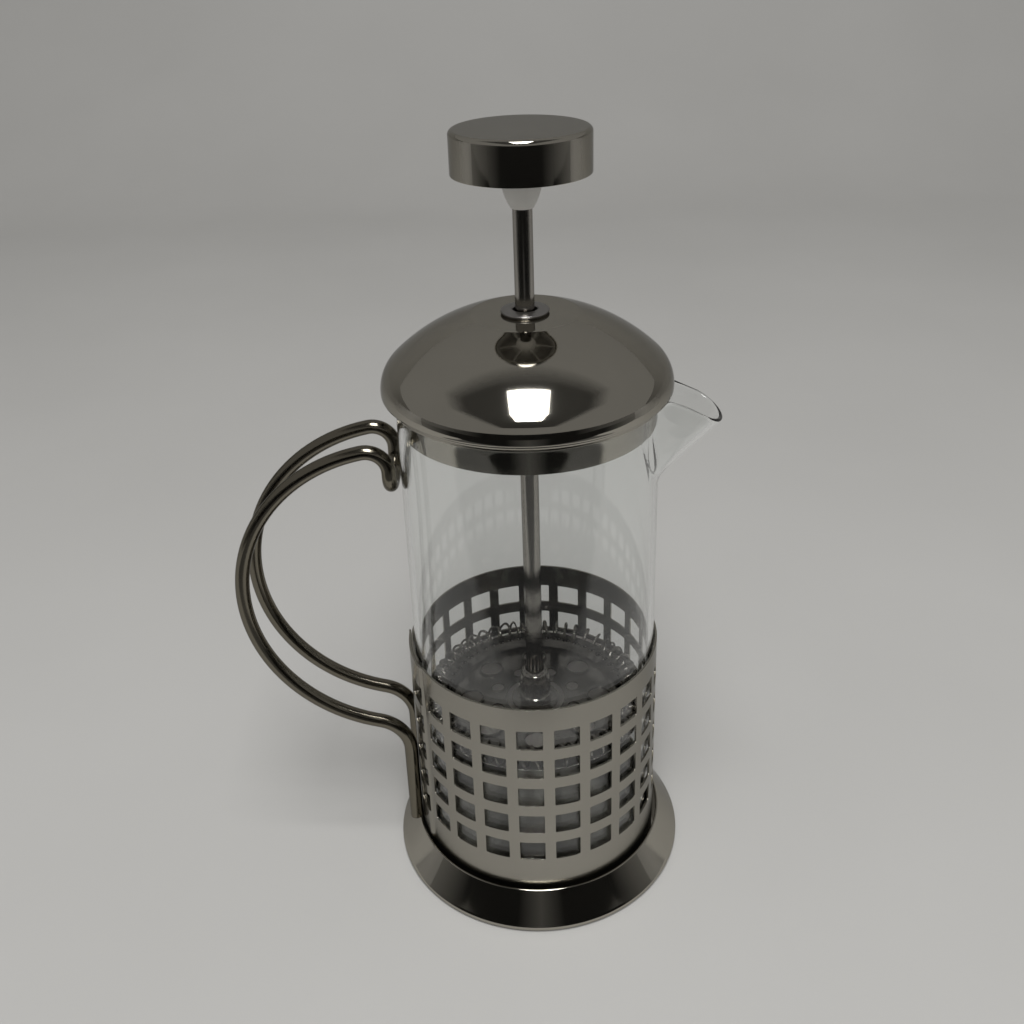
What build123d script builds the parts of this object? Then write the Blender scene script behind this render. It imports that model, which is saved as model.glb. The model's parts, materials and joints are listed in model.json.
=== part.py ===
from build123d import *
import os
from math import acos, asin, atan2, cos, degrees, dist, pi, radians, sin, sqrt

# A small plunger coffee press, in millimetres, +Z up. The origin is the centre of the foot,
# on the table. The handle points along -X and the pouring spout along +X.

# Fits between pieces
RUNNING_FIT = 0.4
PRESS_FIT = 0.05
CONTACT_GAP = 0.1

# Glass beaker
BEAKER_RADIUS = 35.0
BEAKER_HEIGHT = 147.1
BEAKER_WALL = 1.5
BEAKER_FLOOR = 2.5
BEAKER_CORNER = 6.0

# Pouring spout
SPOUT_LENGTH = 29.0
SPOUT_REACH = 17.0
SPOUT_TIP_RADIUS = 9.5
SPOUT_BLEND_RADIUS = 14.0
SPOUT_DIP = 8.0
SPOUT_TURN_RADIUS = 9.0
SPOUT_LIP_TILT = 24.0

# Foot ring and the pan that closes it
BASE_FLARE_WIDTH = 6.5
BASE_HEIGHT = 10.2
BASE_SHEET = 0.7
BASE_SKIRT = 1.6
BASE_HEM = 2.2
BASE_CREST_RADIUS = 1.0
BASE_FLARE_SWELL = 4.0
BASE_SEAT_HEIGHT = 2.8
BASE_SEAT_WIDTH = 7.0
GROOVE_WIDTH = 1.1
PAN_SHEET = 0.8
PAN_BEAD_RADIUS = 20.0
PAN_BEAD_HEIGHT = 0.8

# Perforated band
BAND_SHEET = 0.6
BAND_HEIGHT = 71.2
BAND_LAP_START = -154.5
BAND_LAP_TURN = 28.0
BAND_UNDERLAP_TURN = 3.0
BAND_JOGGLE_TURN = 4.0
WINDOW_COLUMNS = 22
WINDOW_ROWS = 5
WINDOW_WIDTH = 7.2
WINDOW_HEIGHT = 6.4
WINDOW_ROW_PITCH = 10.0
WINDOW_TOP_MARGIN = 7.2
WINDOW_FIRST_ANGLE = -93.1

# Bent wire handle
HANDLE_WIRE = 4.0
HANDLE_SPREAD = 16.0
HANDLE_ARC_RADIUS = 45.7
HANDLE_ARC_SETBACK = 0.7
HANDLE_ARC_CENTRE_Z = 92.8
HANDLE_LOWER_BEND = 11.0
HANDLE_UPPER_BEND = 6.0
HANDLE_LOOP_BEND = 5.0
HANDLE_LOOP_Z = 126.0
HANDLE_FOOT_GAP = 0.6

# Lid
LID_SHEET = 0.6
LID_OVERHANG = 3.5
LID_EDGE_HEIGHT = 2.8
LID_EDGE_DROP = 1.1
LID_FOLD_RADIUS = 0.75
LID_DOME_RISE = 20.8
LID_SHOULDER_RADIUS = 8.9
LID_BEAD_OVERHANG = 1.75
LID_BEAD_SECTION = 0.95
LID_FLAT_RADIUS = 14.2
LID_FLAT_EDGE = 1.0
LID_FLAT_STEP = 0.35
LID_RING_DEPTH = 7.8
LID_RING_SHEET = 0.5

# Collar in the lid
COLLAR_RADIUS = 6.3
COLLAR_FLANGE = 1.3
COLLAR_SHANK_RADIUS = 4.3
COLLAR_SHANK_LENGTH = 4.6
COLLAR_BORE_CLEARANCE = 0.7
COLLAR_NUT_ACROSS_FLATS = 13.0
COLLAR_NUT_HEIGHT = 2.5

# Knob
KNOB_RADIUS = 17.5
KNOB_HEIGHT = 10.8
KNOB_SHEET = 0.7
KNOB_EDGE_RADIUS = 1.2
KNOB_CORE_WEB = 2.6
KNOB_CORE_SKIRT = 1.4
KNOB_CORE_RECESS = 1.0
KNOB_RIBS = 6
KNOB_RIB_WIDTH = 1.2
KNOB_RIB_RECESS = 1.8
KNOB_BOSS_RADIUS = 5.3
KNOB_BOSS_NOSE_RADIUS = 2.9
KNOB_BOSS_DROP = 8.7
KNOB_NUT_ACROSS_FLATS = 7.0
KNOB_NUT_HEIGHT = 3.2

# Plunger rod
ROD_DIAMETER = 5.0
ROD_SPIGOT_DIAMETER = 4.0
ROD_LENGTH = 155.0
ROD_SPIGOT_UP = 6.5
KNOB_SOCKET_DEPTH = 9.0

# Filter stack, measured from the seat of the filter hub
FILTER_SEAT_Z = 50.0
HUB_RADIUS = 4.6
HUB_HEIGHT = 10.7
HUB_COLLAR_HEIGHT = 2.2
HUB_GROOVE_DEPTH = 0.6
HUB_GROOVE_WIDTH = 0.7
HUB_GRIP_HEIGHT = 4.6
HUB_RING_RADIUS = 4.1
HUB_FLUTES = 20
HUB_FLUTE_RADIUS = 0.4
HUB_SHOULDER_HEIGHT = 4.0
PLATE_SHEET = 0.6
PLATE_RIM_WIDTH = 3.7
PLATE_STEP_RUN = 1.2
PLATE_STEP_RISE = 2.0
PLATE_LARGE_HOLES = 8
PLATE_LARGE_HOLE_RADIUS = 3.4
PLATE_HOLE_MARGIN = 2.1
PLATE_LIP_HEIGHT = 0.5
PLATE_LIP_WIDTH = 0.6
PLATE_SMALL_HOLE_RADIUS = 1.9
PLATE_SLOT_CIRCLE = 8.0
PLATE_SLOT_WIDTH = 1.8
PLATE_SLOT_TURN = 100.0
SPRING_TURNS = 54
SPRING_WIRE = 0.8
SPRING_COIL_RADIUS = 3.0
SPRING_HOLE_CLEARANCE = 0.5
SPRING_HALF_TURNS_LEFT_OUT = 1
MESH_SHEET = 0.25
MESH_TURN_UP = 50.0
CROSS_SHEET = 0.8
CROSS_INSET = 2.7
CROSS_RIM_HEIGHT = 1.2
CROSS_HOLES = 6
CROSS_HOLE_RADIUS = 5.6
CROSS_HOLE_MARGIN = 4.1
CROSS_NUT_RADIUS = 5.0
CROSS_NUT_HEIGHT = 4.0
ROD_SPIGOT_PAST_NUT = 0.5

# Levels and radii that follow from the sizes above
BEAKER_SEAT_Z = BASE_SEAT_HEIGHT + PAN_SHEET
BEAKER_RIM_Z = BEAKER_SEAT_Z + BEAKER_HEIGHT
BEAKER_BORE = BEAKER_RADIUS - BEAKER_WALL
BAND_BORE = BEAKER_RADIUS + RUNNING_FIT
BAND_RADIUS = BAND_BORE + BAND_SHEET
BAND_BOTTOM_Z = BASE_SEAT_HEIGHT
BAND_TOP_Z = BAND_BOTTOM_Z + BAND_HEIGHT
LAP_BORE = BAND_RADIUS + CONTACT_GAP
LAP_RADIUS = LAP_BORE + BAND_SHEET
GROOVE_RADIUS = BAND_RADIUS + GROOVE_WIDTH
BASE_RADIUS = GROOVE_RADIUS + BASE_FLARE_WIDTH

LID_FLANGE_Z = BEAKER_RIM_Z + RUNNING_FIT
LID_RING_RADIUS = BEAKER_BORE - RUNNING_FIT
LID_BEAD_RADIUS = BEAKER_RADIUS + LID_BEAD_OVERHANG
LID_BEAD_Z = LID_FLANGE_Z + LID_RING_SHEET + CONTACT_GAP + LID_BEAD_SECTION
LID_RADIUS = BEAKER_RADIUS + LID_OVERHANG
LID_WIDEST_Z = LID_FLANGE_Z + LID_EDGE_HEIGHT
LID_DOME_TOP_Z = LID_WIDEST_Z + LID_DOME_RISE
LID_SHOULDER = (LID_RADIUS - LID_SHOULDER_RADIUS, LID_WIDEST_Z)
LID_DOME_RADIUS = (
    LID_SHOULDER[0] ** 2 + LID_DOME_RISE ** 2 - LID_SHOULDER_RADIUS ** 2
) / (2 * (LID_DOME_RISE - LID_SHOULDER_RADIUS))
LID_CROWN = (0, LID_DOME_TOP_Z - LID_DOME_RADIUS)
LID_FLAT_FOOT = LID_FLAT_RADIUS + LID_FLAT_EDGE
LID_FLAT_FOOT_Z = LID_CROWN[1] + sqrt(LID_DOME_RADIUS ** 2 - LID_FLAT_FOOT ** 2)
LID_SEAT_Z = LID_FLAT_FOOT_Z + LID_FLAT_STEP
COLLAR_TOP_Z = LID_SEAT_Z + COLLAR_FLANGE

ROD_RADIUS = ROD_DIAMETER / 2
ROD_SPIGOT_RADIUS = ROD_SPIGOT_DIAMETER / 2
SPIGOT_BORE = ROD_SPIGOT_RADIUS + CONTACT_GAP
ROD_SHOULDER_Z = FILTER_SEAT_Z + HUB_SHOULDER_HEIGHT
ROD_NECK_Z = ROD_SHOULDER_Z + ROD_LENGTH
KNOB_NOSE_Z = ROD_NECK_Z - KNOB_SOCKET_DEPTH
KNOB_RIM_Z = KNOB_NOSE_Z + KNOB_BOSS_DROP
KNOB_TOP_Z = KNOB_RIM_Z + KNOB_HEIGHT
KNOB_WEB_TOP_Z = KNOB_TOP_Z - KNOB_SHEET
KNOB_WEB_Z = KNOB_WEB_TOP_Z - KNOB_CORE_WEB

PLATE_UNDER_Z = FILTER_SEAT_Z - PLATE_SHEET
MESH_UNDER_Z = PLATE_UNDER_Z - MESH_SHEET
CROSS_UNDER_Z = MESH_UNDER_Z - CROSS_SHEET
NUT_UNDER_Z = CROSS_UNDER_Z - CROSS_NUT_HEIGHT
SPRING_OUTER = SPRING_COIL_RADIUS + SPRING_WIRE / 2
SPRING_Z = PLATE_UNDER_Z + CONTACT_GAP + SPRING_OUTER
SPRING_RING_RADIUS = BEAKER_BORE - RUNNING_FIT - SPRING_OUTER
PLATE_EDGE_RADIUS = SPRING_RING_RADIUS
PLATE_STEP_RADIUS = PLATE_EDGE_RADIUS - PLATE_RIM_WIDTH
PLATE_FLAT_RADIUS = PLATE_STEP_RADIUS - PLATE_STEP_RUN
PLATE_LARGE_HOLE_CIRCLE = PLATE_FLAT_RADIUS - PLATE_HOLE_MARGIN - PLATE_LARGE_HOLE_RADIUS
PLATE_LARGE_HOLE_INSIDE = PLATE_LARGE_HOLE_CIRCLE - PLATE_LARGE_HOLE_RADIUS
PLATE_SMALL_HOLE_CIRCLE = (PLATE_LARGE_HOLE_INSIDE + PLATE_SLOT_CIRCLE + PLATE_SLOT_WIDTH / 2) / 2
CROSS_RADIUS = SPRING_RING_RADIUS - CROSS_INSET
CROSS_HOLE_CIRCLE = CROSS_RADIUS - CROSS_SHEET - CROSS_HOLE_MARGIN - CROSS_HOLE_RADIUS


def polar(radius, angle, centre=(0, 0)):
    """A point at a radius and an angle in degrees round a centre."""
    return (centre[0] + radius * cos(radians(angle)), centre[1] + radius * sin(radians(angle)))


def arc(start, middle, end):
    return ThreePointArc(start, middle, end)


def turned(profile):
    """Turn a profile drawn as (radius, height) round the vertical axis."""
    return revolve(Plane.XZ * profile, Axis.Z)


def pressed_sheet(edges, thickness, side):
    """A pressed sheet: its seen outline, thickened to one side and turned."""
    outline = Wire(edges).offset_2d(thickness, kind=Kind.INTERSECTION, side=side, closed=True)
    return turned(make_face(outline))


def post(radius, bottom, top):
    """A plain upright cylinder on the axis."""
    return Pos(0, 0, bottom) * Cylinder(radius, top - bottom, align=(Align.CENTER, Align.CENTER, Align.MIN))


def upright_pegs(radius, circle, count, first_angle, bottom, top):
    """Round pegs standing on a circle round the axis, to add as bosses or cut as holes."""
    peg = Cylinder(radius, top - bottom, align=(Align.CENTER, Align.CENTER, Align.MIN))
    places = PolarLocations(circle, count, first_angle)
    return [Pos(0, 0, bottom) * place * peg for place in places]


# Foot and band

def base_ring():
    """The flared foot: hem, skirt, convex flare, rolled crest and the seat for the band."""
    crest = (GROOVE_RADIUS + BASE_CREST_RADIUS, BASE_HEIGHT - BASE_CREST_RADIUS)
    skirt_top = (BASE_RADIUS, BASE_SKIRT)
    fall = degrees(atan2(crest[1] - skirt_top[1], skirt_top[0] - crest[0]))
    crest_turn = 90 - fall + BASE_FLARE_SWELL
    flare_top = polar(BASE_CREST_RADIUS, crest_turn, crest)
    crest_turn_middle = polar(BASE_CREST_RADIUS, (crest_turn + 180) / 2, crest)
    crest_end = (GROOVE_RADIUS, crest[1])
    flare_start = (sin(radians(crest_turn)), -cos(radians(crest_turn)))
    seat_corner = (GROOVE_RADIUS, BASE_SEAT_HEIGHT)
    edges = [
        Line((BASE_RADIUS - BASE_HEM, 0), (BASE_RADIUS, 0)),
        Line((BASE_RADIUS, 0), skirt_top),
        TangentArc(flare_top, skirt_top, tangent=flare_start),
        arc(flare_top, crest_turn_middle, crest_end),
        Line(crest_end, seat_corner),
        Line(seat_corner, (GROOVE_RADIUS - BASE_SEAT_WIDTH, BASE_SEAT_HEIGHT)),
    ]
    return pressed_sheet(edges, BASE_SHEET, Side.LEFT)


def base_pan():
    """The pan that the glass stands on, with one stiffening bead pressed down into it."""
    pan = post(BAND_BORE - RUNNING_FIT, BASE_SEAT_HEIGHT, BEAKER_SEAT_Z)
    section = Pos(PAN_BEAD_RADIUS, BASE_SEAT_HEIGHT) * Circle(PAN_BEAD_HEIGHT)
    upper_half = Pos(PAN_BEAD_RADIUS, BASE_SEAT_HEIGHT + PAN_BEAD_HEIGHT) * Rectangle(
        3 * PAN_BEAD_HEIGHT, 2 * PAN_BEAD_HEIGHT
    )
    return pan + turned(section - upper_half)


def band_strip():
    """The band seen from above: one strip with its outer end joggled over its inner end."""
    joggle = BAND_LAP_START + BAND_JOGGLE_TURN
    free_end = BAND_LAP_START - BAND_LAP_TURN
    inner_end = 360 + BAND_LAP_START - BAND_UNDERLAP_TURN
    middle = (inner_end + joggle) / 2
    lap_middle = (BAND_LAP_START + free_end) / 2

    def side(main, lap):
        return [
            arc(polar(main, inner_end), polar(main, middle), polar(main, joggle)),
            Line(polar(main, joggle), polar(lap, BAND_LAP_START)),
            arc(polar(lap, BAND_LAP_START), polar(lap, lap_middle), polar(lap, free_end)),
        ]

    ends = [
        Line(polar(BAND_BORE, inner_end), polar(BAND_RADIUS, inner_end)),
        Line(polar(LAP_BORE, free_end), polar(LAP_RADIUS, free_end)),
    ]
    return make_face(side(BAND_BORE, LAP_BORE) + side(BAND_RADIUS, LAP_RADIUS) + ends)


def frame_band():
    """The perforated band: rows of square windows cut through the strip."""
    band = Pos(0, 0, BAND_BOTTOM_Z) * extrude(band_strip(), BAND_HEIGHT)
    through = 4 * BAND_SHEET + LAP_RADIUS - BAND_BORE
    window = Box(through, WINDOW_WIDTH, WINDOW_HEIGHT)
    windows = []
    for row in range(WINDOW_ROWS):
        height = BAND_TOP_Z - WINDOW_TOP_MARGIN - WINDOW_HEIGHT / 2 - row * WINDOW_ROW_PITCH
        places = PolarLocations(BAND_RADIUS, WINDOW_COLUMNS, WINDOW_FIRST_ANGLE)
        windows += [Pos(0, 0, height) * place * window for place in places]
    return band - windows


# Handle

def handle_wire():
    """Two strands of one wire: a leg on the band, a wide arc, a short hook and a joining loop."""
    half = HANDLE_SPREAD / 2
    wire_radius = HANDLE_WIRE / 2
    main = (-(BEAKER_RADIUS + HANDLE_ARC_SETBACK), HANDLE_ARC_CENTRE_Z)
    leg_x = -sqrt((LAP_RADIUS + CONTACT_GAP + wire_radius) ** 2 - half ** 2)
    hook_x = -(BEAKER_RADIUS + RUNNING_FIT + wire_radius)

    lower_reach = HANDLE_ARC_RADIUS + HANDLE_LOWER_BEND
    lower_x = leg_x - HANDLE_LOWER_BEND
    lower = (lower_x, main[1] - sqrt(lower_reach ** 2 - (lower_x - main[0]) ** 2))
    lower_angle = degrees(atan2(lower[1] - main[1], lower[0] - main[0]))

    upper_reach = HANDLE_ARC_RADIUS - HANDLE_UPPER_BEND
    upper_x = hook_x - HANDLE_UPPER_BEND
    upper = (upper_x, main[1] + sqrt(upper_reach ** 2 - (upper_x - main[0]) ** 2))
    upper_angle = degrees(atan2(upper[1] - main[1], upper[0] - main[0]))

    foot = (leg_x, BASE_HEIGHT + HANDLE_FOOT_GAP)
    leg_top = (leg_x, lower[1])
    lower_join = polar(HANDLE_ARC_RADIUS, lower_angle, main)
    lower_middle = polar(HANDLE_LOWER_BEND, (lower_angle + 180) / 2, lower)
    upper_join = polar(HANDLE_ARC_RADIUS, upper_angle, main)
    upper_middle = polar(HANDLE_UPPER_BEND, upper_angle / 2, upper)
    far_left = (main[0] - HANDLE_ARC_RADIUS, main[1])
    hook_top = (hook_x, upper[1])
    loop_top = (hook_x, HANDLE_LOOP_Z + HANDLE_LOOP_BEND)

    def strand(side):
        def at(point):
            return (point[0], side * half, point[1])

        return [
            Line(at(foot), at(leg_top)),
            arc(at(leg_top), at(lower_middle), at(lower_join)),
            arc(at(lower_join), at(far_left), at(upper_join)),
            arc(at(upper_join), at(upper_middle), at(hook_top)),
            Line(at(hook_top), at(loop_top)),
        ]

    bend = HANDLE_LOOP_BEND
    bar_end = half - bend
    corner = bend * (1 - sqrt(0.5))
    near_turn = arc(
        (hook_x, -half, HANDLE_LOOP_Z + bend),
        (hook_x, -half + corner, HANDLE_LOOP_Z + corner),
        (hook_x, -bar_end, HANDLE_LOOP_Z),
    )
    far_turn = arc(
        (hook_x, half, HANDLE_LOOP_Z + bend),
        (hook_x, half - corner, HANDLE_LOOP_Z + corner),
        (hook_x, bar_end, HANDLE_LOOP_Z),
    )
    bar = Line((hook_x, -bar_end, HANDLE_LOOP_Z), (hook_x, bar_end, HANDLE_LOOP_Z))
    path = Wire(strand(-1) + [near_turn, bar, far_turn] + strand(1))
    section = Plane((leg_x, -half, foot[1])) * Circle(wire_radius)
    return sweep(section, path=path)


# Glass

def spout_section(height, reach, wall):
    """The beaker in plan at one height: a circle drawn out into a rounded spout.

    The spout's tip arc and the main circle are joined by two tangent hollow arcs. A wall
    above nought gives the bore instead of the outside."""
    radius = BEAKER_RADIUS - wall
    tip = SPOUT_TIP_RADIUS - wall
    blend = SPOUT_BLEND_RADIUS + wall
    tip_x = BEAKER_RADIUS + reach - SPOUT_TIP_RADIUS
    from_axis = radius + blend
    from_tip = tip + blend
    turn = acos((from_axis ** 2 + tip_x ** 2 - from_tip ** 2) / (2 * from_axis * tip_x))
    hollow = (from_axis * cos(turn), from_axis * sin(turn))
    root = (radius * cos(turn), radius * sin(turn))
    reach_to_tip = (hollow[0] - tip_x, hollow[1])
    touch = (tip_x + reach_to_tip[0] * tip / from_tip, reach_to_tip[1] * tip / from_tip)
    middle_x = (root[0] + touch[0]) / 2 - hollow[0]
    middle_y = (root[1] + touch[1]) / 2 - hollow[1]
    away = blend / sqrt(middle_x ** 2 + middle_y ** 2)
    waist = (hollow[0] + middle_x * away, hollow[1] + middle_y * away)

    def across(point):
        return (point[0], -point[1])

    outline = make_face([
        arc(root, (-radius, 0), across(root)),
        arc(across(root), across(waist), across(touch)),
        arc(across(touch), (tip_x + tip, 0), touch),
        arc(touch, waist, root),
    ])
    return Pos(0, 0, height) * outline


def spout_block(wall):
    """The upper part of the beaker with its spout, from where the spout begins to above the rim."""
    begin = BEAKER_RIM_Z - SPOUT_LENGTH
    slope = SPOUT_REACH / (SPOUT_LENGTH - SPOUT_DIP - SPOUT_TURN_RADIUS / 2)
    sections = []
    for share in (0.0, 0.12, 0.28, 0.5, 0.72, 1.0, 1.15):
        climb = share * SPOUT_LENGTH
        bend = SPOUT_TURN_RADIUS
        eased = climb ** 2 / (2 * bend) if climb < bend else climb - bend / 2
        reach = max(slope * eased, CONTACT_GAP)
        sections.append(spout_section(begin + climb, reach, wall))
    return loft(sections)


def rim_cutter():
    """What is cut off above the rim, dipping along the spout to its tip."""
    rim_start = BEAKER_RADIUS + BEAKER_WALL
    tip_x = BEAKER_RADIUS + SPOUT_REACH
    high = BEAKER_RIM_Z + SPOUT_LENGTH
    lip_start = radians(SPOUT_LIP_TILT)
    dip = (tip_x, BEAKER_RIM_Z - SPOUT_DIP)
    lip = TangentArc((rim_start, BEAKER_RIM_Z), dip, tangent=(cos(lip_start), -sin(lip_start)))
    past = lip % 1
    far = (tip_x + 2 * SPOUT_REACH * past.X, dip[1] + 2 * SPOUT_REACH * past.Y)
    outline = make_face([
        Line((-2 * BEAKER_RADIUS, BEAKER_RIM_Z), (rim_start, BEAKER_RIM_Z)),
        lip,
        Line(dip, far),
        Line(far, (far[0], high)),
        Line((far[0], high), (-2 * BEAKER_RADIUS, high)),
        Line((-2 * BEAKER_RADIUS, high), (-2 * BEAKER_RADIUS, BEAKER_RIM_Z)),
    ])
    return extrude(Plane.XZ * outline, 2 * BEAKER_RADIUS, both=True)


def beaker():
    """The glass: a round-cornered tube with a floor and the drawn-out spout."""
    begin = BEAKER_RIM_Z - SPOUT_LENGTH
    outside = post(BEAKER_RADIUS, BEAKER_SEAT_Z, begin)
    outside = fillet(outside.edges().sort_by(Axis.Z)[0], BEAKER_CORNER)
    inside = post(BEAKER_BORE, BEAKER_SEAT_Z + BEAKER_FLOOR, begin)
    inside = fillet(inside.edges().sort_by(Axis.Z)[0], BEAKER_CORNER - BEAKER_WALL)
    glass = (outside + spout_block(0)) - (inside + spout_block(BEAKER_WALL))
    return glass - rim_cutter()


# Lid

def lid_dome():
    """The lid: a flat round the collar, a dome with a tight shoulder, a folded edge and a bead."""
    bore = COLLAR_SHANK_RADIUS + CONTACT_GAP
    flat_edge = (LID_FLAT_RADIUS, LID_SEAT_Z)
    flat_foot = (LID_FLAT_FOOT, LID_FLAT_FOOT_Z)
    foot_turn = degrees(atan2(LID_FLAT_FOOT_Z - LID_CROWN[1], LID_FLAT_FOOT))
    join_turn = degrees(atan2(LID_SHOULDER[1] - LID_CROWN[1], LID_SHOULDER[0]))
    join = polar(LID_DOME_RADIUS, join_turn, LID_CROWN)
    dome_middle = polar(LID_DOME_RADIUS, (foot_turn + join_turn) / 2, LID_CROWN)
    shoulder_middle = polar(LID_SHOULDER_RADIUS, join_turn / 2, LID_SHOULDER)
    widest = (LID_RADIUS, LID_WIDEST_Z)
    under_z = LID_WIDEST_Z - LID_EDGE_DROP
    fold = (LID_RADIUS - LID_FOLD_RADIUS, under_z + LID_FOLD_RADIUS)
    fold_start = (LID_RADIUS, fold[1])
    fold_end = (fold[0], under_z)
    edges = [
        Line((bore, LID_SEAT_Z), flat_edge),
        Line(flat_edge, flat_foot),
        arc(flat_foot, dome_middle, join),
        arc(join, shoulder_middle, widest),
        Line(widest, fold_start),
        arc(fold_start, polar(LID_FOLD_RADIUS, -45, fold), fold_end),
        Line(fold_end, (LID_BEAD_RADIUS, under_z)),
    ]
    skin = pressed_sheet(edges, LID_SHEET, Side.RIGHT)
    bead = turned(Pos(LID_BEAD_RADIUS, LID_BEAD_Z) * Circle(LID_BEAD_SECTION))
    return skin + bead


def lid_ring():
    """The inner ring that centres the lid in the glass, with the flange that rests on the rim."""
    flange_edge = LID_BEAD_RADIUS
    bottom = LID_FLANGE_Z - LID_RING_DEPTH
    edges = [
        Line((LID_RING_RADIUS, bottom), (LID_RING_RADIUS, LID_FLANGE_Z)),
        Line((LID_RING_RADIUS, LID_FLANGE_Z), (flange_edge, LID_FLANGE_Z)),
    ]
    return pressed_sheet(edges, LID_RING_SHEET, Side.LEFT)


def lid_collar():
    """The flanged bush that guides the rod through the lid."""
    flange = post(COLLAR_RADIUS, LID_SEAT_Z, COLLAR_TOP_Z)
    flange = chamfer(flange.edges().sort_by(Axis.Z)[-1], COLLAR_FLANGE / 4)
    shank = post(COLLAR_SHANK_RADIUS, LID_SEAT_Z - COLLAR_SHANK_LENGTH, LID_SEAT_Z)
    bore = post(ROD_RADIUS + COLLAR_BORE_CLEARANCE, LID_SEAT_Z - COLLAR_SHANK_LENGTH, COLLAR_TOP_Z)
    return flange + shank - bore


def collar_nut():
    """The thin nut that clamps the collar to the underside of the lid."""
    top = LID_SEAT_Z - LID_SHEET
    outline = RegularPolygon(COLLAR_NUT_ACROSS_FLATS / 2, 6, major_radius=False)
    nut = Pos(0, 0, top - COLLAR_NUT_HEIGHT) * extrude(outline, COLLAR_NUT_HEIGHT)
    return nut - post(COLLAR_SHANK_RADIUS + PRESS_FIT, top - COLLAR_NUT_HEIGHT, top)


# Knob and rod

def knob_cap():
    """The drawn steel cup over the knob."""
    shoulder = KNOB_TOP_Z - KNOB_EDGE_RADIUS
    flat = KNOB_RADIUS - KNOB_EDGE_RADIUS
    corner = polar(KNOB_EDGE_RADIUS, 45, (flat, shoulder))
    outline = make_face([
        Line((0, KNOB_TOP_Z), (flat, KNOB_TOP_Z)),
        arc((flat, KNOB_TOP_Z), corner, (KNOB_RADIUS, shoulder)),
        Line((KNOB_RADIUS, shoulder), (KNOB_RADIUS, KNOB_RIM_Z)),
        Line((KNOB_RADIUS, KNOB_RIM_Z), (0, KNOB_RIM_Z)),
        Line((0, KNOB_RIM_Z), (0, KNOB_TOP_Z)),
    ])
    inner_edge = KNOB_EDGE_RADIUS - KNOB_SHEET
    hollow = post(KNOB_RADIUS - KNOB_SHEET, KNOB_RIM_Z, KNOB_TOP_Z - KNOB_SHEET)
    hollow = fillet(hollow.edges().sort_by(Axis.Z)[-1], inner_edge)
    return turned(outline) - hollow


def knob_core():
    """The ribbed plastic core, with the bowl-shaped boss that the rod screws into."""
    outer = KNOB_RADIUS - KNOB_SHEET - CONTACT_GAP
    skirt_z = KNOB_RIM_Z + KNOB_CORE_RECESS
    top = KNOB_WEB_TOP_Z
    web = post(outer, skirt_z, top)
    web = chamfer(web.edges().sort_by(Axis.Z)[-1], KNOB_EDGE_RADIUS - KNOB_SHEET)
    core = web - post(outer - KNOB_CORE_SKIRT, skirt_z, KNOB_WEB_Z)
    rib_z = KNOB_RIM_Z + KNOB_RIB_RECESS
    rib_length = outer - KNOB_CORE_SKIRT / 2
    rib = Box(rib_length, KNOB_RIB_WIDTH, KNOB_WEB_Z - rib_z, align=(Align.MIN, Align.CENTER, Align.MIN))
    for spoke in range(KNOB_RIBS):
        core += Pos(0, 0, rib_z) * Rot(0, 0, spoke * 360 / KNOB_RIBS) * rib
    bowl_z = KNOB_RIM_Z
    nose = (KNOB_BOSS_NOSE_RADIUS, KNOB_NOSE_Z)
    belly = TangentArc((KNOB_BOSS_RADIUS, bowl_z), nose, tangent=(0, -1))
    boss = make_face([
        Line((0, KNOB_WEB_Z), (KNOB_BOSS_RADIUS, KNOB_WEB_Z)),
        Line((KNOB_BOSS_RADIUS, KNOB_WEB_Z), (KNOB_BOSS_RADIUS, bowl_z)),
        belly,
        Line(nose, (0, KNOB_NOSE_Z)),
        Line((0, KNOB_NOSE_Z), (0, KNOB_WEB_Z)),
    ])
    core += turned(boss)
    core -= post(ROD_RADIUS + CONTACT_GAP, KNOB_NOSE_Z, ROD_NECK_Z)
    core -= post(SPIGOT_BORE, ROD_NECK_Z, ROD_NECK_Z + ROD_SPIGOT_UP)
    return core - knob_nut_blank(CONTACT_GAP)


def knob_nut_blank(clearance):
    """The outline of the nut in the knob, or of the pocket that holds it."""
    across = KNOB_NUT_ACROSS_FLATS / 2 + clearance
    bottom = ROD_NECK_Z + ROD_SPIGOT_UP - KNOB_NUT_HEIGHT - clearance
    tall = KNOB_NUT_HEIGHT + 2 * clearance
    return Pos(0, 0, bottom) * extrude(RegularPolygon(across, 6, major_radius=False), tall)


def knob_nut():
    """The nut moulded into the knob's boss."""
    nut_z = ROD_NECK_Z + ROD_SPIGOT_UP - KNOB_NUT_HEIGHT
    return knob_nut_blank(0) - post(SPIGOT_BORE, nut_z, nut_z + KNOB_NUT_HEIGHT)


def plunger_rod():
    """The rod, with a thinner threaded end at the knob and one through the filter stack."""
    rod = post(ROD_RADIUS, ROD_SHOULDER_Z, ROD_NECK_Z)
    rod += post(ROD_SPIGOT_RADIUS, ROD_NECK_Z, ROD_NECK_Z + ROD_SPIGOT_UP)
    return rod + post(ROD_SPIGOT_RADIUS, NUT_UNDER_Z - ROD_SPIGOT_PAST_NUT, ROD_SHOULDER_Z)


# Filter stack

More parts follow.
